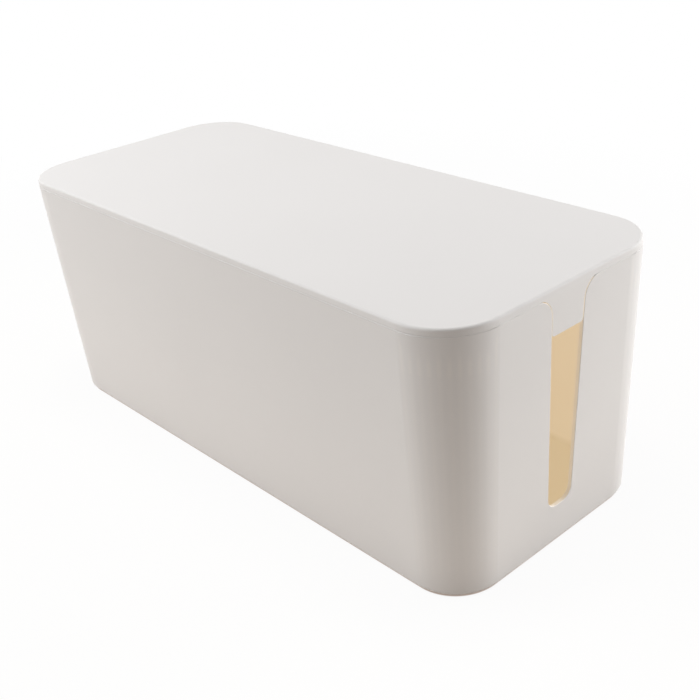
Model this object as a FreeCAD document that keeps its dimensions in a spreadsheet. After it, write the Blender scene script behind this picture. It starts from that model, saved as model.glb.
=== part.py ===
import FreeCAD, Part
import math
import os

import Sketcher

# Cable management box: an open tub with a cable slot in each end wall, a lid that
# lifts off, and four rubber feet. X runs along the length, Y across, Z up. The
# origin is the middle of the footprint, on the surface that the feet stand on.

doc = FreeCAD.newDocument("cable_box")

# Driving dimensions: millimetres, and degrees where the name says angle.
driving_sizes = {
    # tub, measured at the rim where the lid meets it
    "box_length": 320.0,
    "box_width": 136.0,
    "corner_radius": 27.0,
    "shell_height": 122.9,
    "draft_angle": 1.5,
    "wall_thickness": 1.8,
    "floor_thickness": 2.0,
    "base_edge_radius": 1.5,
    "floor_edge_radius": 3.0,
    "rim_edge_radius": 0.3,
    # cable slot, one in each end wall
    "slot_base_width": 15.6,
    "slot_floor_height": 19.6,
    "slot_flank_angle": 1.55,
    "slot_corner_radius": 6.0,
    "slot_shoulder_radius": 8.5,
    # lid
    "lid_set_back": 0.15,
    "lid_rim_depth": 3.3,
    "lid_draft_angle": 3.0,
    "lid_top_thickness": 2.0,
    "lid_edge_radius": 1.2,
    "lip_depth": 6.0,
    "lip_thickness": 1.5,
    "lip_clearance": 0.4,
    "lip_end_margin": 1.0,
    # tabs of the lid, one in each slot
    "tab_depth": 17.7,
    "tab_clearance": 0.4,
    "tab_corner_radius": 1.5,
    "tab_rib_depth": 12.0,
    "tab_rib_reach": 6.0,
    "tab_rib_thickness": 1.2,
    # rubber feet
    "foot_radius": 6.0,
    "foot_thickness": 2.0,
    "foot_edge_radius": 0.5,
    "foot_recess_depth": 0.5,
    "foot_recess_clearance": 0.2,
    "foot_inset": 22.0,
    # how far every cut runs past the solid
    "cut_overrun": 2.0,
}

sheet = doc.addObject("Spreadsheet::Sheet", "sizes")
for row, (size_name, size_value) in enumerate(driving_sizes.items(), start=1):
    sheet.set(f"A{row}", size_name)
    sheet.set(f"B{row}", str(size_value))
    sheet.setAlias(f"B{row}", size_name)
doc.recompute()

# Two places closer than this are the same place.
same_place = 1e-4

# Expressions over the sheet that more than one piece uses.
half_length = "sizes.box_length / 2"
half_width = "sizes.box_width / 2"
stand_height = "(sizes.foot_thickness - sizes.foot_recess_depth)"
seam_height = f"({stand_height} + sizes.shell_height)"


def slot_half_width(height):
    """half the straight slot's width at a height above the underside of the tub"""
    return f"(sizes.slot_base_width / 2 + ({height} - sizes.slot_floor_height) * tan(sizes.slot_flank_angle))"


def value_of(expression):
    """the number that an expression over the sheet gives now"""
    return float(sheet.evalExpression(expression))


def origin_plane(body, role):
    return [plane for plane in body.Origin.OriginFeatures if plane.Role == role][0]


def new_sketch(body, role, name, offset=None):
    """a sketch on one of the body's origin planes, moved along that plane's normal"""
    sketch = body.newObject("Sketcher::SketchObject", name)
    sketch.AttachmentSupport = [(origin_plane(body, role), "")]
    sketch.MapMode = "FlatFace"
    if offset:
        sketch.setExpression("AttachmentOffset.Base.z", offset)
    return sketch


def dimension(sketch, kind, elements, name, expression):
    """a named driving constraint, bound to the sheet"""
    index = sketch.addConstraint(Sketcher.Constraint(kind, *elements, value_of(expression)))
    sketch.renameConstraint(index, name)
    sketch.setExpression(f"Constraints.{name}", expression)


def place_point(sketch, element, end, name, across, up):
    """ties a point of the sketch to the origin; None leaves that coordinate at zero"""
    for kind, axis, suffix, expression in (("DistanceX", -2, "across", across), ("DistanceY", -1, "up", up)):
        if expression is None:
            sketch.addConstraint(Sketcher.Constraint("PointOnObject", element, end, axis))
        else:
            dimension(sketch, kind, (-1, 1, element, end), f"{name}_{suffix}", expression)


def rounded_rectangle(sketch, name, length, width, radius):
    """a centred rectangle with four equal rounded corners"""
    across, up, corner = value_of(length) / 2, value_of(width) / 2, value_of(radius)
    first = sketch.GeometryCount
    corners = [(1, -1), (1, 1), (-1, 1), (-1, -1)]
    centres = [FreeCAD.Vector(sx * (across - corner), sy * (up - corner), 0) for sx, sy in corners]
    for quarter, centre in enumerate(centres):
        start_angle = (quarter - 1) * math.pi / 2
        outward = FreeCAD.Vector(math.cos(start_angle), math.sin(start_angle), 0) * corner
        line_start = centres[quarter - 1] + outward
        sketch.addGeometry(Part.LineSegment(line_start, centre + outward))
        circle = Part.Circle(centre, FreeCAD.Vector(0, 0, 1), corner)
        sketch.addGeometry(Part.ArcOfCircle(circle, start_angle, start_angle + math.pi / 2))
    for step in range(8):
        following = (step + 1) % 8
        sketch.addConstraint(Sketcher.Constraint("Tangent", first + step, 2, first + following, 1))
    for step, kind in ((0, "Horizontal"), (4, "Horizontal"), (2, "Vertical"), (6, "Vertical")):
        sketch.addConstraint(Sketcher.Constraint(kind, first + step))
    for step in (1, 3, 5):
        sketch.addConstraint(Sketcher.Constraint("Equal", first + step, first + step + 2))
    sketch.addConstraint(Sketcher.Constraint("Symmetric", first, 1, first + 4, 1, -1, 1))
    dimension(sketch, "DistanceX", (first + 6, 1, first + 2, 1), f"{name}_length", length)
    dimension(sketch, "DistanceY", (first, 1, first + 4, 1), f"{name}_width", width)
    dimension(sketch, "Radius", (first + 1,), f"{name}_radius", radius)


def polygon(sketch, name, corners):
    """a closed outline of straight lines; each corner is two expressions, None for zero"""
    first = sketch.GeometryCount
    count = len(corners)
    points = []
    for across, up in corners:
        points.append(FreeCAD.Vector(value_of(across or "0"), value_of(up or "0"), 0))
    for step, point in enumerate(points):
        sketch.addGeometry(Part.LineSegment(point, points[(step + 1) % count]))
    for step in range(count):
        following = (step + 1) % count
        sketch.addConstraint(Sketcher.Constraint("Coincident", first + step, 2, first + following, 1))
    for step, (across, up) in enumerate(corners):
        place_point(sketch, first + step, 1, f"{name}_{step}", across, up)


def extrude(body, kind, name, sketch, length, side="One side", reverse=False, taper=None):
    """a Pad or a Pocket whose length and taper follow the sheet"""
    volume_before = body.Tip.Shape.Volume if body.Tip else 0
    feature = body.newObject(f"PartDesign::{kind}", name)
    feature.Profile = sketch
    feature.SideType = side
    feature.Reversed = reverse
    feature.setExpression("Length", length)
    if taper:
        feature.setExpression("TaperAngle", taper)
    doc.recompute()
    added = feature.Shape.Volume - volume_before
    if added == 0 or (added > 0) != (kind == "Pad"):
        raise RuntimeError(f"{name} changed the volume by {added}")


def round_edges(body, name, radius, wanted):
    """a Fillet on the edges of the body so far that the test picks"""
    base = body.Tip
    picked = [f"Edge{n}" for n, edge in enumerate(base.Shape.Edges, start=1) if wanted(edge)]
    feature = body.newObject("PartDesign::Fillet", name)
    feature.Base = (base, picked)
    feature.setExpression("Radius", radius)
    doc.recompute()


def is_near(one, other):
    return math.isclose(one, other, abs_tol=same_place)


def lies_at(edge, height):
    """whether the whole edge lies at one height in the body's own frame"""
    box = edge.BoundBox
    return is_near(box.ZMin, height) and is_near(box.ZMax, height)


def runs_along_x(edge):
    box = edge.BoundBox
    return is_near(box.YLength, 0) and is_near(box.ZLength, 0)


def is_rim_or_mouth(edge):
    """an edge round the top of the tub's outside, or round a slot in its end walls"""
    box = edge.BoundBox
    rim_height, reach_x, reach_y = value_of("sizes.shell_height"), value_of(half_length), value_of(half_width)
    if lies_at(edge, rim_height):
        return is_near(max(box.XMax, -box.XMin), reach_x) or is_near(max(box.YMax, -box.YMin), reach_y)
    lean = math.tan(math.radians(value_of("sizes.draft_angle")))
    middle = edge.valueAt((edge.FirstParameter + edge.LastParameter) / 2)
    points = [middle] + [vertex.Point for vertex in edge.Vertexes]
    in_end_wall = all(is_near(abs(point.x), reach_x - (rim_height - point.z) * lean) for point in points)
    return in_end_wall and abs(middle.y) < reach_y / 2 and middle.z > value_of("sizes.base_edge_radius")


def new_body(label):
    body = doc.addObject("PartDesign::Body", label)
    body.Label = label
    return body


# The four feet: name, side along X, side along Y. The front is the long side at -Y.
feet = [
    ("foot_front_left", -1, -1),
    ("foot_front_right", 1, -1),
    ("foot_back_left", -1, 1),
    ("foot_back_right", 1, 1),
]


def foot_place(side_x, side_y):
    """where a foot's middle is, as two expressions"""
    return f"{side_x} * ({half_length} - sizes.foot_inset)", f"{side_y} * ({half_width} - sizes.foot_inset)"


def rim_rectangle(sketch, name, inset="0"):
    """the outline at the rim, drawn in by a distance all round"""
    length, width = f"sizes.box_length - 2 * {inset}", f"sizes.box_width - 2 * {inset}"
    rounded_rectangle(sketch, name, length, width, f"sizes.corner_radius - {inset}")


def circle(sketch, name, radius, across=None, up=None):
    centre = FreeCAD.Vector(value_of(across or "0"), value_of(up or "0"), 0)
    index = sketch.addGeometry(Part.Circle(centre, FreeCAD.Vector(0, 0, 1), value_of(radius)))
    dimension(sketch, "Radius", (index,), f"{name}_radius", radius)
    place_point(sketch, index, 3, name, across, up)


def draw_tab(sketch, shoulder_centre):
    """a tab's outline: the slot's own, drawn in by the clearance, up to the seam"""
    foot = "sizes.tab_depth"
    half_foot = (
        f"({slot_half_width('(sizes.shell_height - sizes.tab_depth)')}"
        " - sizes.tab_clearance / cos(sizes.slot_flank_angle))"
    )
    radius = "(sizes.slot_shoulder_radius + sizes.tab_clearance)"
    centre_y, centre_z = value_of(shoulder_centre), -value_of("sizes.slot_shoulder_radius")
    arc_radius, foot_z, foot_y = value_of(radius), -value_of(foot), value_of(half_foot)
    flank = math.radians(value_of("sizes.slot_flank_angle"))
    rise = math.asin(-centre_z / arc_radius)
    touch_y = centre_y - arc_radius * math.cos(flank)
    touch_z = centre_z + arc_radius * math.sin(flank)
    top_y = centre_y - arc_radius * math.cos(rise)
    normal = FreeCAD.Vector(0, 0, 1)

    def line(y0, z0, y1, z1):
        sketch.addGeometry(Part.LineSegment(FreeCAD.Vector(y0, z0, 0), FreeCAD.Vector(y1, z1, 0)))

    def arc(side, start, end):
        full = Part.Circle(FreeCAD.Vector(side * centre_y, centre_z, 0), normal, arc_radius)
        sketch.addGeometry(Part.ArcOfCircle(full, start, end))

    line(-foot_y, foot_z, foot_y, foot_z)
    line(foot_y, foot_z, touch_y, touch_z)
    arc(1, math.pi - rise, math.pi - flank)
    line(top_y, 0, -top_y, 0)
    arc(-1, flank, rise)
    line(-touch_y, touch_z, -foot_y, foot_z)
    constraints = [
        ("Coincident", 0, 2, 1, 1),
        ("Tangent", 1, 2, 2, 2),
        ("Coincident", 2, 1, 3, 1),
        ("Coincident", 3, 2, 4, 2),
        ("Tangent", 4, 1, 5, 1),
        ("Coincident", 5, 2, 0, 1),
        ("Symmetric", 0, 1, 0, 2, -2),
        ("Symmetric", 3, 1, 3, 2, -2),
        ("Symmetric", 2, 3, 4, 3, -2),
        ("PointOnObject", 3, 1, -1),
    ]
    for kind, *elements in constraints:
        sketch.addConstraint(Sketcher.Constraint(kind, *elements))
    place_point(sketch, 1, 1, "foot", half_foot, f"-{foot}")
    place_point(sketch, 2, 3, "shoulder", shoulder_centre, "-sizes.slot_shoulder_radius")
    dimension(sketch, "Radius", (2,), "shoulder_radius", radius)


def make_box_body():
    """the tub: leaning walls, rounded floor, cable slots and recesses for the feet"""
    body = new_body("box_body")
    body.setExpression("Placement.Base.z", stand_height)

    outline = new_sketch(body, "XY_Plane", "rim_outline", "sizes.shell_height")
    rim_rectangle(outline, "rim")
    extrude(body, "Pad", "outside", outline, "sizes.shell_height", reverse=True, taper="-sizes.draft_angle")
    round_edges(body, "base_edge", "sizes.base_edge_radius", lambda edge: lies_at(edge, 0))

    cavity = new_sketch(body, "XY_Plane", "cavity_outline", "sizes.shell_height")
    rim_rectangle(cavity, "cavity", "sizes.wall_thickness")
    cavity_depth = "sizes.shell_height - sizes.floor_thickness"
    extrude(body, "Pocket", "inside", cavity, cavity_depth, taper="-sizes.draft_angle")
    floor_height = value_of("sizes.floor_thickness")
    round_edges(body, "floor_edge", "sizes.floor_edge_radius", lambda edge: lies_at(edge, floor_height))

    # The slot is open at the top. Its flanks lean apart, its lower corners are round,
    # and round shoulders lead from the flanks out to the rim.
    slot_top = "(sizes.shell_height + sizes.cut_overrun)"
    slot = new_sketch(body, "YZ_Plane", "slot_outline")
    low, high = slot_half_width("sizes.slot_floor_height"), slot_half_width(slot_top)
    polygon(
        slot,
        "slot",
        [
            (f"-{low}", "sizes.slot_floor_height"),
            (low, "sizes.slot_floor_height"),
            (high, slot_top),
            (f"-{high}", slot_top),
        ],
    )
    extrude(body, "Pocket", "slots", slot, "sizes.box_length + sizes.cut_overrun", side="Symmetric")
    slot_floor = value_of("sizes.slot_floor_height")
    round_edges(
        body,
        "slot_corners",
        "sizes.slot_corner_radius",
        lambda edge: lies_at(edge, slot_floor) and runs_along_x(edge),
    )
    rim_height = value_of("sizes.shell_height")
    flank_end = value_of(slot_half_width("sizes.shell_height"))
    round_edges(
        body,
        "slot_shoulders",
        "sizes.slot_shoulder_radius",
        lambda edge: lies_at(edge, rim_height)
        and runs_along_x(edge)
        and is_near(abs(edge.BoundBox.YMax), flank_end),
    )
    round_edges(body, "rim_edge", "sizes.rim_edge_radius", is_rim_or_mouth)

    recesses = new_sketch(body, "XY_Plane", "foot_recess_outline")
    recess_radius = "sizes.foot_radius + sizes.foot_recess_clearance"
    for foot_name, side_x, side_y in feet:
        circle(recesses, foot_name, recess_radius, *foot_place(side_x, side_y))
    extrude(body, "Pocket", "foot_recesses", recesses, "sizes.foot_recess_depth", reverse=True)
    return body


def make_lid():
    """the lid, in a frame that lies in the seam: the rim is above it, lip and tabs below"""
    body = new_body("lid")
    body.setExpression("Placement.Base.z", seam_height)

    # The lid stands a little back from the walls all round.
    outline = new_sketch(body, "XY_Plane", "lid_outline")
    rim_rectangle(outline, "lid", "sizes.lid_set_back")
    extrude(body, "Pad", "top", outline, "sizes.lid_rim_depth", taper="-sizes.lid_draft_angle")
    top_height = value_of("sizes.lid_rim_depth")
    round_edges(body, "top_edge", "sizes.lid_edge_radius", lambda edge: lies_at(edge, top_height))

    # The lip drops inside the walls and keeps the same clearance from them all the
    # way down, because both lean by the draft angle.
    lip_outer = "(sizes.wall_thickness + sizes.lip_clearance)"
    lip_inner = f"({lip_outer} + sizes.lip_thickness)"
    lip = new_sketch(body, "XY_Plane", "lip_outline")
    rim_rectangle(lip, "lip_outside", lip_outer)
    rim_rectangle(lip, "lip_inside", lip_inner)
    extrude(body, "Pad", "lip", lip, "sizes.lip_depth", reverse=True, taper="-sizes.draft_angle")
    hollow = new_sketch(body, "XY_Plane", "underside_outline")
    rim_rectangle(hollow, "underside", lip_inner)
    hollow_depth = "(sizes.lid_rim_depth - sizes.lid_top_thickness)"
    extrude(body, "Pocket", "underside", hollow, hollow_depth, reverse=True)

    # The lip stops short of the slots on both sides.
    shoulder_centre = (
        f"({slot_half_width('(sizes.shell_height - sizes.slot_shoulder_radius)')}"
        " + sizes.slot_shoulder_radius / cos(sizes.slot_flank_angle))"
    )
    lip_end = f"({shoulder_centre} + sizes.lip_end_margin)"
    lip_foot = "-(sizes.lip_depth + sizes.cut_overrun)"
    lip_gap = new_sketch(body, "YZ_Plane", "lip_gap_outline")
    gap_corners = [(f"-{lip_end}", lip_foot), (lip_end, lip_foot), (lip_end, None), (f"-{lip_end}", None)]
    polygon(lip_gap, "lip_gap", gap_corners)
    extrude(body, "Pocket", "lip_gap", lip_gap, "sizes.box_length", side="Symmetric")

    tab = new_sketch(body, "YZ_Plane", "tab_outline")
    draw_tab(tab, shoulder_centre)
    extrude(body, "Pad", "tab_bar", tab, "sizes.box_length", side="Symmetric")

    # What stays of the bar carries the rim's outer face on downwards and leans with the walls.
    cut_foot = "(sizes.tab_depth + sizes.cut_overrun)"
    lean = f"{cut_foot} * tan(sizes.draft_angle)"
    outer_top = f"({half_length} - sizes.lid_set_back)"
    inner_top = f"({half_length} - sizes.wall_thickness)"
    inner_foot = f"({inner_top} - {lean})"
    beyond = f"({half_length} + sizes.cut_overrun)"
    section = new_sketch(body, "XZ_Plane", "tab_section")
    polygon(
        section,
        "between",
        [
            (f"-{inner_foot}", f"-{cut_foot}"),
            (inner_foot, f"-{cut_foot}"),
            (inner_top, None),
            (f"-{inner_top}", None),
        ],
    )
    for side_name, side in (("right", ""), ("left", "-")):
        polygon(
            section,
            side_name,
            [
                (f"{side}{outer_top}", None),
                (f"{side}({outer_top} - {lean})", f"-{cut_foot}"),
                (f"{side}{beyond}", f"-{cut_foot}"),
                (f"{side}{beyond}", None),
            ],
        )
    extrude(body, "Pocket", "tab_walls", section, f"2 * {lip_end}", side="Symmetric")
    tab_foot = -value_of("sizes.tab_depth")
    round_edges(
        body,
        "tab_corners",
        "sizes.tab_corner_radius",
        lambda edge: lies_at(edge, tab_foot) and runs_along_x(edge),
    )

    # One triangular rib stiffens each tab from behind.
    rib = new_sketch(body, "XZ_Plane", "tab_rib_outline")
    rib_root = f"({half_length} - sizes.wall_thickness / 2)"
    rib_reach = f"({half_length} - sizes.wall_thickness - sizes.tab_rib_reach)"
    for side_name, side in (("right", ""), ("left", "-")):
        polygon(
            rib,
            side_name,
            [
                (f"{side}{rib_root}", hollow_depth),
                (f"{side}{rib_root}", "-sizes.tab_rib_depth"),
                (f"{side}{rib_reach}", hollow_depth),
            ],
        )
    extrude(body, "Pad", "tab_ribs", rib, "sizes.tab_rib_thickness", side="Symmetric")
    return body


def make_foot(label, side_x, side_y):
    """a round rubber foot, standing at the origin's height"""
    body = new_body(label)
    place_x, place_y = foot_place(side_x, side_y)
    body.setExpression("Placement.Base.x", place_x)
    body.setExpression("Placement.Base.y", place_y)
    outline = new_sketch(body, "XY_Plane", f"{label}_outline")
    circle(outline, "foot", "sizes.foot_radius")
    extrude(body, "Pad", f"{label}_pad", outline, "sizes.foot_thickness")
    round_edges(body, f"{label}_edge", "sizes.foot_edge_radius", lambda edge: lies_at(edge, 0))
    return body


parts = [make_box_body(), make_lid()]
parts += [make_foot(*foot) for foot in feet]
doc.recompute()

for item in doc.Objects:
    if "Invalid" in item.State or "Error" in item.State:
        raise RuntimeError(f"{item.Label} did not rebuild: {item.State}")
for part in parts:
    if part.Shape.isNull() or not part.Shape.isValid() or len(part.Shape.Solids) != 1:
        raise RuntimeError(f"{part.Label} is not one valid solid")

os.makedirs("parts", exist_ok=True)
for part in parts:
    part.Shape.exportStep(f"parts/{part.Label}.step")
    box = part.Shape.BoundBox
    print(f"{part.Label}: volume {part.Shape.Volume:.1f}, height {box.ZMin:.2f} to {box.ZMax:.2f}")
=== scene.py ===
import math

import bpy
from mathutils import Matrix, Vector

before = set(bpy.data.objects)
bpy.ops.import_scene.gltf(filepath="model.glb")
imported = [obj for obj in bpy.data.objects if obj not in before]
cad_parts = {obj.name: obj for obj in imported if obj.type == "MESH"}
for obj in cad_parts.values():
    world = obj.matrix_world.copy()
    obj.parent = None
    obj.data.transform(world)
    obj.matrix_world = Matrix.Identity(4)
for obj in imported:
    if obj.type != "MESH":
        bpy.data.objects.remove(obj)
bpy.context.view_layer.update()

# Cable management box: a moulded tub with a lift-off lid and four rubber feet.
# Metres throughout: X along the box, Y across it, Z up from the desk.
print("frame loaded:", ", ".join(sorted(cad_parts)))

mm = 0.001

# The closed outer form, which the plastic's patterns follow.
outerForm = {
    "halfLength": 160 * mm,
    "halfWidth": 68 * mm,
    "cornerRadius": 27 * mm,
    "seamHeight": 124.4 * mm,
    "topHeight": 127.7 * mm,
    "undersideHeight": 1.5 * mm,
    "edgeRadius": 1.2 * mm,
    "wallLean": math.tan(math.radians(1.5)),
    "rimLean": math.tan(math.radians(3)),
}


# Small helpers for node trees: a value may be a number, a colour or another socket.
def plug(tree, value, socket):
    if isinstance(value, bpy.types.NodeSocket):
        tree.links.new(value, socket)
    else:
        socket.default_value = value


def maths(tree, operation, *values):
    node = tree.nodes.new("ShaderNodeMath")
    node.operation = operation
    for value, socket in zip(values, node.inputs):
        plug(tree, value, socket)
    return node.outputs[0]


def vectorMaths(tree, operation, *values):
    node = tree.nodes.new("ShaderNodeVectorMath")
    node.operation = operation
    for value, socket in zip(values, node.inputs):
        plug(tree, value, socket)
    return node.outputs["Value" if operation == "LENGTH" else "Vector"]


def smoothStep(tree, value, low, high, atLow=0.0, atHigh=1.0):
    node = tree.nodes.new("ShaderNodeMapRange")
    node.interpolation_type = "SMOOTHSTEP"
    ends = {"Value": value, "From Min": low, "From Max": high, "To Min": atLow, "To Max": atHigh}
    for name, number in ends.items():
        plug(tree, number, node.inputs[name])
    return node.outputs["Result"]


def noise(tree, place, scale, detail=2.0, roughness=0.5):
    node = tree.nodes.new("ShaderNodeTexNoise")
    settings = {"Vector": place, "Scale": scale, "Detail": detail, "Roughness": roughness}
    for name, value in settings.items():
        plug(tree, value, node.inputs[name])
    return node.outputs["Fac"]


# A point's height, and how far across the box it lies.
def heightAndWidth(tree, place):
    split = tree.nodes.new("ShaderNodeSeparateXYZ")
    plug(tree, place, split.inputs[0])
    return split.outputs["Z"], split.outputs["Y"]


# The Mix node's colour sockets go by number, since their names repeat.
def blendColour(tree, share, first, second):
    node = tree.nodes.new("ShaderNodeMix")
    node.data_type = "RGBA"
    for index, value in ((0, share), (6, first), (7, second)):
        plug(tree, value, node.inputs[index])
    return node.outputs[2]


def newGroup(name, inputs, outputs):
    tree = bpy.data.node_groups.new(name, "ShaderNodeTree")
    for label, kind, start in inputs:
        socket = tree.interface.new_socket(name=label, in_out="INPUT", socket_type=kind)
        if start is not None:
            socket.default_value = start
    for label, kind in outputs:
        tree.interface.new_socket(name=label, in_out="OUTPUT", socket_type=kind)
    given = tree.nodes.new("NodeGroupInput").outputs
    return tree, given, tree.nodes.new("NodeGroupOutput").inputs


def placeGroup(tree, group, **values):
    node = tree.nodes.new("ShaderNodeGroup")
    node.node_tree = group
    for name, value in values.items():
        plug(tree, value, node.inputs[name])
    return node.outputs


# How deep a point lies under the outer form, how far it is from the form's nearest
# edge, and how far it lies inward of the leaning walls.
def makeDepthGroup(form):
    tree, given, result = newGroup(
        "depthUnderShell",
        [("Place", "NodeSocketVector", None)],
        [("Depth", "NodeSocketFloat"), ("Edge", "NodeSocketFloat"), ("Inward", "NodeSocketFloat")],
    )
    height = heightAndWidth(tree, given["Place"])[0]
    flat = vectorMaths(tree, "MULTIPLY", given["Place"], (1, 1, 0))
    away = vectorMaths(tree, "ABSOLUTE", flat)
    cornerAt = (form["halfLength"] - form["cornerRadius"], form["halfWidth"] - form["cornerRadius"], 0)
    past = vectorMaths(tree, "MAXIMUM", vectorMaths(tree, "SUBTRACT", away, cornerAt), (0, 0, 0))
    below = maths(tree, "MAXIMUM", maths(tree, "SUBTRACT", form["seamHeight"], height), 0.0)
    above = maths(tree, "MAXIMUM", maths(tree, "SUBTRACT", height, form["seamHeight"]), 0.0)
    wallLeaning = maths(tree, "MULTIPLY", below, form["wallLean"])
    leaning = maths(tree, "MULTIPLY_ADD", above, form["rimLean"], wallLeaning)
    radius = maths(tree, "SUBTRACT", form["cornerRadius"], leaning)
    fromSide = maths(tree, "SUBTRACT", radius, vectorMaths(tree, "LENGTH", past))
    fromTop = maths(tree, "SUBTRACT", form["topHeight"], height)
    fromUnder = maths(tree, "SUBTRACT", height, form["undersideHeight"])
    fromEnds = maths(tree, "MINIMUM", fromTop, fromUnder)
    corner = tree.nodes.new("ShaderNodeCombineXYZ")
    for distance, socket in ((fromSide, corner.inputs["X"]), (fromEnds, corner.inputs["Z"])):
        short = maths(tree, "SUBTRACT", form["edgeRadius"], distance)
        plug(tree, maths(tree, "MAXIMUM", short, 0.0), socket)
    rounded = vectorMaths(tree, "LENGTH", corner.outputs[0])
    nearer = maths(tree, "MINIMUM", fromSide, fromEnds)
    deeper = maths(tree, "MAXIMUM", maths(tree, "SUBTRACT", nearer, form["edgeRadius"]), 0.0)
    whole = maths(tree, "ADD", deeper, form["edgeRadius"])
    plug(tree, maths(tree, "SUBTRACT", whole, rounded), result["Depth"])
    plug(tree, maths(tree, "MAXIMUM", fromSide, fromEnds), result["Edge"])
    plug(tree, fromSide, result["Inward"])
    return tree


# The fine spark texture of the mould, and the slow drift of tone in a large moulding.
mouldPattern = {
    "fine": (3.0, 0.6),
    "slow": (2.0, 0.5),
    "cellsPerGrain": 0.6,
    "cellShare": 0.5,
    "speckle": (0.35, 0.7),
}


def makeGrainGroup(pattern):
    tree, given, result = newGroup(
        "mouldTexture",
        [
            ("Place", "NodeSocketVector", None),
            ("Grain Size", "NodeSocketFloat", 0.35 * mm),
            ("Drift Size", "NodeSocketFloat", 70 * mm),
        ],
        [("Height", "NodeSocketFloat"), ("Drift", "NodeSocketFloat"), ("Speckle", "NodeSocketFloat")],
    )
    fineScale = maths(tree, "DIVIDE", 1.0, given["Grain Size"])
    fine = noise(tree, given["Place"], fineScale, *pattern["fine"])
    cells = tree.nodes.new("ShaderNodeTexVoronoi")
    cells.feature = "SMOOTH_F1"
    plug(tree, given["Place"], cells.inputs["Vector"])
    cellScale = maths(tree, "DIVIDE", pattern["cellsPerGrain"], given["Grain Size"])
    plug(tree, cellScale, cells.inputs["Scale"])
    rise = maths(tree, "MULTIPLY_ADD", cells.outputs["Distance"], pattern["cellShare"], fine)
    plug(tree, rise, result["Height"])
    slowScale = maths(tree, "DIVIDE", 1.0, given["Drift Size"])
    slow = noise(tree, given["Place"], slowScale, *pattern["slow"])
    plug(tree, maths(tree, "SUBTRACT", slow, 0.5), result["Drift"])
    plug(tree, smoothStep(tree, fine, *pattern["speckle"]), result["Speckle"])
    return tree


# Faint rubbing where hands lift the lid and where the box slides on a desk. Each noise
# has its scale, detail and roughness.
wearPattern = {
    "patchNoise": (90.0, 4.0, 0.6),
    "patchRange": (0.3, 0.75),
    "smudgeNoise": (22.0, 5.0, 0.65),
    "smudgeRange": (0.48, 0.8),
}


def makeWearGroup(pattern):
    tree, given, result = newGroup(
        "handlingWear",
        [
            ("Place", "NodeSocketVector", None),
            ("Edge", "NodeSocketFloat", 1.0),
            ("Reach", "NodeSocketFloat", 2.2 * mm),
        ],
        [("Worn Edge", "NodeSocketFloat"), ("Smudge", "NodeSocketFloat")],
    )
    near = smoothStep(tree, given["Edge"], 0.0, given["Reach"], 1.0, 0.0)
    patches = noise(tree, given["Place"], *pattern["patchNoise"])
    patchy = smoothStep(tree, patches, *pattern["patchRange"])
    plug(tree, maths(tree, "MULTIPLY", near, patchy), result["Worn Edge"])
    smudges = noise(tree, given["Place"], *pattern["smudgeNoise"])
    plug(tree, smoothStep(tree, smudges, *pattern["smudgeRange"]), result["Smudge"])
    return tree


depthUnderShell = makeDepthGroup(outerForm)
mouldTexture = makeGrainGroup(mouldPattern)
handlingWear = makeWearGroup(wearPattern)


def startMaterial(name):
    material = bpy.data.materials.new(name)
    material.use_nodes = True
    tree = material.node_tree
    place = tree.nodes.new("ShaderNodeTexCoord").outputs["Object"]
    return material, tree, tree.nodes["Principled BSDF"].inputs, place


def bump(tree, height, strength, distance, socket):
    node = tree.nodes.new("ShaderNodeBump")
    node.inputs["Strength"].default_value = strength
    node.inputs["Distance"].default_value = distance
    plug(tree, height, node.inputs["Height"])
    plug(tree, node.outputs[0], socket)


# Satin off-white plastic. The inside is painted with a warm glow (emission) in place of the light that
# comes through the thin walls.
satinPlastic = {
    "outside": (0.8, 0.775, 0.76, 1),
    # Painted glow colours (emission) for the inside walls, the inside floor and the gaps round the
    # tabs.
    "throughWall": (1.0, 0.797, 0.52, 1),
    "throughFloor": (0.63, 0.488, 0.227, 1),
    "throughGap": (2.6, 2.1, 1.4, 1),
    "wornEdge": (0.86, 0.84, 0.82, 1),
    "wornShare": 0.35,
    "toneDrift": 0.03,
    "toneSpeckle": 0.012,
    "grainSize": 0.35 * mm,
    "driftSize": 70 * mm,
    "patternShift": (0, 0, 0),
    "cutEdge": (0.03 * mm, 0.27 * mm),
    "throughCut": 0.7,
    "inside": (1.5 * mm, 1.75 * mm),
    # Painted shade in the seam along the long sides.
    "seamShade": 0.075,
    "seamReach": (0.2 * mm, 0.8 * mm),
    "longSides": (62 * mm, 66 * mm),
    "glowEnds": (123.6 * mm, 123.9 * mm),
    "floorEnds": (3.6 * mm, 6.5 * mm),
    "tabBegins": (107.2 * mm, 108.4 * mm),
    "roughness": 0.56,
    "roughDrift": 0.06,
    "roughSpeckle": 0.05,
    "roughSmudge": -0.04,
    "roughWorn": -0.08,
    "specular": 0.35,
    "throughGlow": 0.2,
    "bumpStrength": 0.25,
    "bumpDistance": 0.02 * mm,
}

# The lid stands a hair inside the outer form, so its cut edges start deeper.
lidFinish = dict(
    satinPlastic,
    cutEdge=(0.2 * mm, 0.4 * mm),
    throughGap=(0.5, 0.38, 0.24, 1),
    driftSize=90 * mm,
    patternShift=(0.31, 0.17, 0.05),
)


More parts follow.
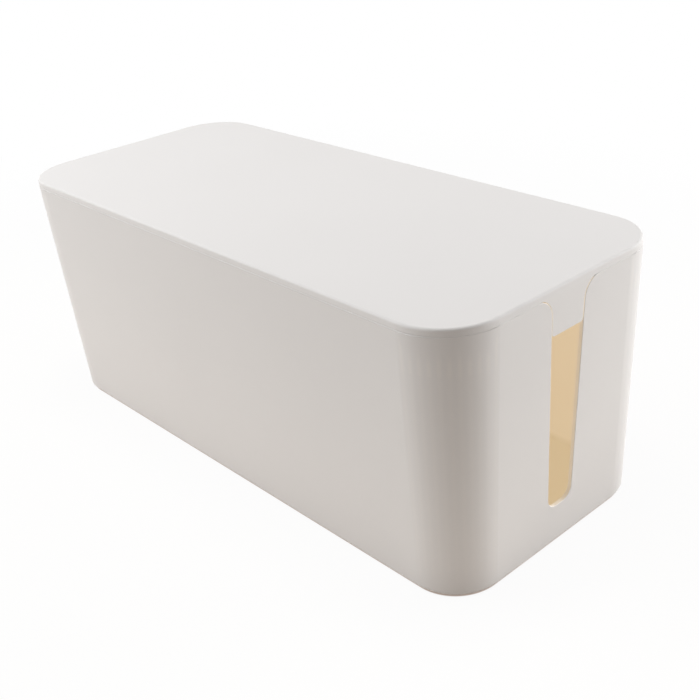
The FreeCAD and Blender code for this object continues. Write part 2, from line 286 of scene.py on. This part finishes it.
def makePlastic(name, look):
    material, tree, shader, place = startMaterial(name)
    moved = vectorMaths(tree, "ADD", place, look["patternShift"])
    height, across = heightAndWidth(tree, place)
    depth = placeGroup(tree, depthUnderShell, Place=place)
    scales = {"Grain Size": look["grainSize"], "Drift Size": look["driftSize"]}
    texture = placeGroup(tree, mouldTexture, Place=moved, **scales)
    wear = placeGroup(tree, handlingWear, Place=moved, Edge=depth["Edge"])

    # The painted glow is weaker on the slots' and gaps' cut edges than on the inner faces, and the
    # seam has none.
    cutEdge = smoothStep(tree, depth["Depth"], *look["cutEdge"], 0.0, look["throughCut"])
    underSeam = smoothStep(tree, height, *look["glowEnds"], 1.0, 0.0)
    innerFace = smoothStep(tree, depth["Depth"], *look["inside"])
    inside = maths(tree, "MAXIMUM", maths(tree, "MULTIPLY", cutEdge, underSeam), innerFace)

    worn = maths(tree, "MULTIPLY", wear["Worn Edge"], look["wornShare"])
    colour = blendColour(tree, worn, look["outside"], look["wornEdge"])
    tone = maths(tree, "MULTIPLY_ADD", texture["Drift"], look["toneDrift"], 1.0)
    tone = maths(tree, "MULTIPLY_ADD", texture["Speckle"], look["toneSpeckle"], tone)
    # Painted shade in the seam: the colour is darker there along the two long sides, and not at the
    # ends.
    offSeam = maths(tree, "ABSOLUTE", maths(tree, "SUBTRACT", height, outerForm["seamHeight"]))
    dustAndShade = smoothStep(tree, offSeam, *look["seamReach"], look["seamShade"], 0.0)
    onLongSide = smoothStep(tree, maths(tree, "ABSOLUTE", across), *look["longSides"])
    dustAndShade = maths(tree, "MULTIPLY", dustAndShade, onLongSide)
    tone = maths(tree, "SUBTRACT", tone, dustAndShade)
    toned = vectorMaths(tree, "SCALE", colour)
    plug(tree, tone, toned.node.inputs["Scale"])
    plug(tree, toned, shader["Base Color"])

    rough = maths(tree, "MULTIPLY_ADD", texture["Drift"], look["roughDrift"], look["roughness"])
    rough = maths(tree, "MULTIPLY_ADD", texture["Speckle"], look["roughSpeckle"], rough)
    rough = maths(tree, "MULTIPLY_ADD", wear["Smudge"], look["roughSmudge"], rough)
    rough = maths(tree, "MULTIPLY_ADD", wear["Worn Edge"], look["roughWorn"], rough)
    plug(tree, rough, shader["Roughness"])
    bump(tree, texture["Height"], look["bumpStrength"], look["bumpDistance"], shader["Normal"])

    # The painted glow is weaker on the floor, since no light comes up through the floor, which stands
    # on the desk.
    # The gaps round the lid's tabs get a stronger painted glow in place of light through the thin
    # plastic there.
    upWall = smoothStep(tree, height, *look["floorEnds"])
    through = blendColour(tree, upWall, look["throughFloor"], look["throughWall"])
    inGap = smoothStep(tree, height, *look["tabBegins"])
    inGap = maths(tree, "MULTIPLY", inGap, maths(tree, "SUBTRACT", 1.0, innerFace))
    through = blendColour(tree, inGap, through, look["throughGap"])
    shader["Specular IOR Level"].default_value = look["specular"]
    # Painted glow: emission on the inside faces, the cut edges and the tab gaps.
    plug(tree, blendColour(tree, inside, (0, 0, 0, 1), through), shader["Emission Color"])
    shader["Emission Strength"].default_value = look["throughGlow"]
    return material


# Matt grey rubber with a little dust on it.
rubber = {
    "dark": (0.05, 0.05, 0.052, 1),
    "dusty": (0.16, 0.155, 0.15, 1),
    "grainSize": 0.5 * mm,
    "driftSize": 6 * mm,
    "dustNoise": (600.0, 4.0, 0.6),
    "dustRange": (0.45, 0.75),
    "roughness": 0.78,
    "roughSpeckle": 0.12,
    "bumpStrength": 0.5,
    "bumpDistance": 0.05 * mm,
}


def makeRubber(name, look):
    material, tree, shader, place = startMaterial(name)
    scales = {"Grain Size": look["grainSize"], "Drift Size": look["driftSize"]}
    texture = placeGroup(tree, mouldTexture, Place=place, **scales)
    dustAndShade = smoothStep(tree, noise(tree, place, *look["dustNoise"]), *look["dustRange"])
    plug(tree, blendColour(tree, dustAndShade, look["dark"], look["dusty"]), shader["Base Color"])
    rough = maths(tree, "MULTIPLY_ADD", texture["Speckle"], look["roughSpeckle"], look["roughness"])
    plug(tree, rough, shader["Roughness"])
    bump(tree, texture["Height"], look["bumpStrength"], look["bumpDistance"], shader["Normal"])
    return material


tubPlastic = makePlastic("tubPlastic", satinPlastic)
lidPlastic = makePlastic("lidPlastic", lidFinish)
footRubber = makeRubber("footRubber", rubber)

finishes = {
    "box_body": tubPlastic,
    "lid": lidPlastic,
    "foot_front_left": footRubber,
    "foot_front_right": footRubber,
    "foot_back_left": footRubber,
    "foot_back_right": footRubber,
}
for nodeName, material in finishes.items():
    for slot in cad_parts[nodeName].material_slots:
        slot.material = material
print("finishes placed on", len(finishes), "nodes")


# A wide pale floor, brightest a little way from the box. Its colour is painted darker close round the
# box (painted shade) and far from it (painted fall-off of light).
# The camera and reflections see it nearly white, with a trace of shadow round the box and a painted
# brown shadow line under its edge.
floorLook = {
    "size": 12.0,
    # Painted shade: the floor colour close round the box.
    "close": (0.62, 0.57, 0.52, 1),
    "near": (0.95, 0.88, 0.8, 1),
    # Painted fall-off of light: the floor colour far from the box.
    "far": (0.45, 0.43, 0.41, 1),
    "closeTo": (0.0, 0.05),
    "fade": (0.05, 0.45),
    "seenWhite": (0.95, 1.0),
    "whiteFade": (0.03, 0.5),
    # Painted shadow: the brown line the camera sees under the box's edge.
    "gapSeen": (0.6, 0.47, 0.4, 1),
    "gapShare": 0.5,
    "gapFrom": (1.2 * mm, 2.0 * mm),
    "gapDeep": (4 * mm, 12 * mm),
    "toneNoise": (3.0, 3.0),
    "toneSpread": 0.02,
    "toneLow": 0.99,
    "roughness": 0.9,
}


def seenDirectly(tree):
    path = tree.nodes.new("ShaderNodeLightPath").outputs
    seen = maths(tree, "MAXIMUM", path["Is Camera Ray"], path["Is Glossy Ray"])
    return maths(tree, "MAXIMUM", seen, path["Is Transmission Ray"])


def makeFloor(look):
    bpy.ops.mesh.primitive_plane_add(size=look["size"], location=(0, 0, 0))
    floor = bpy.context.object
    floor.name = "studioFloor"
    material, tree, shader, place = startMaterial("studioPaper")
    unevenness = noise(tree, place, *look["toneNoise"])
    tone = maths(tree, "MULTIPLY_ADD", unevenness, look["toneSpread"], look["toneLow"])
    inward = placeGroup(tree, depthUnderShell, Place=place)["Inward"]
    outward = maths(tree, "MULTIPLY", inward, -1.0)
    away = smoothStep(tree, outward, *look["closeTo"])
    colour = blendColour(tree, away, look["close"], look["near"])
    colour = blendColour(tree, smoothStep(tree, outward, *look["fade"]), colour, look["far"])
    toned = vectorMaths(tree, "SCALE", colour)
    plug(tree, tone, toned.node.inputs["Scale"])
    plug(tree, toned, shader["Base Color"])
    shader["Roughness"].default_value = look["roughness"]
    shader["Specular IOR Level"].default_value = 0.0
    glow = tree.nodes.new("ShaderNodeEmission")
    # Painted shadow line under the box's edge.
    underEdge = smoothStep(tree, inward, *look["gapFrom"])
    plug(tree, blendColour(tree, underEdge, (1, 1, 1, 1), look["gapSeen"]), glow.inputs["Color"])
    mix = tree.nodes.new("ShaderNodeMixShader")
    white = smoothStep(tree, outward, *look["whiteFade"], *look["seenWhite"])
    share = smoothStep(tree, inward, *look["gapFrom"], white, look["gapShare"])
    share = maths(tree, "MULTIPLY", share, smoothStep(tree, inward, *look["gapDeep"], 1.0, 0.0))
    plug(tree, maths(tree, "MULTIPLY", seenDirectly(tree), share), mix.inputs[0])
    tree.links.new(tree.nodes["Principled BSDF"].outputs[0], mix.inputs[1])
    tree.links.new(glow.outputs[0], mix.inputs[2])
    tree.links.new(mix.outputs[0], tree.nodes["Material Output"].inputs["Surface"])
    floor.data.materials.append(material)


def makeWorld(air):
    world = bpy.data.worlds.new("studioAir")
    bpy.context.scene.world = world
    world.use_nodes = True
    tree = world.node_tree
    backdrop = tree.nodes["Background"].inputs
    plug(tree, blendColour(tree, seenDirectly(tree), air, (1, 1, 1, 1)), backdrop["Color"])
    backdrop["Strength"].default_value = 1.0


airColour = (0.234, 0.213, 0.2, 1)
makeFloor(floorLook)
makeWorld(airColour)

# Soft boxes: where each stands, its width and its power in watts. All face the box.
boxLight = (0.945, 0.98, 1.0)
boxAim = Vector((0, 0, 0.06))
softBoxes = {
    "leftBox": {"at": (-0.475, -0.475, 0.732), "width": 0.6, "power": 4.46},
    "leftFarBox": {"at": (-0.76, -0.76, 1.17), "width": 0.96, "power": 7.69},
    "rightLowBox": {"at": (0.597, 0.712, 0.258), "width": 0.6, "power": 6.02},
    "rightHighBox": {"at": (0.336, 0.582, 0.732), "width": 0.6, "power": 2.0},
}


def makeLamp(name, box):
    data = bpy.data.lights.new(name, "AREA")
    data.shape = "SQUARE"
    data.size = box["width"]
    data.energy = box["power"]
    data.color = boxLight
    lamp = bpy.data.objects.new(name, data)
    lamp.location = box["at"]
    lamp.rotation_euler = (boxAim - Vector(box["at"])).to_track_quat("-Z", "Y").to_euler()
    lamp.visible_camera = False
    bpy.context.scene.collection.objects.link(lamp)


for lampName, box in softBoxes.items():
    makeLamp(lampName, box)

cameraSet = {
    "at": (0.38022, -0.29519, 0.29087),
    "turn": (59.726, 3.679, 45.9),
    "lens": 52.889,
    "sensor": 36,
    "shift": (-0.0579, 0.0714),
}


def makeCamera(view):
    data = bpy.data.cameras.new("photoView")
    data.sensor_width = view["sensor"]
    data.lens = view["lens"]
    data.shift_x, data.shift_y = view["shift"]
    camera = bpy.data.objects.new("photoView", data)
    camera.location = view["at"]
    camera.rotation_euler = [math.radians(angle) for angle in view["turn"]]
    bpy.context.scene.collection.objects.link(camera)
    bpy.context.scene.camera = camera


makeCamera(cameraSet)
bpy.context.scene.view_settings.view_transform = "Standard"
print("stage, lamps and camera set")
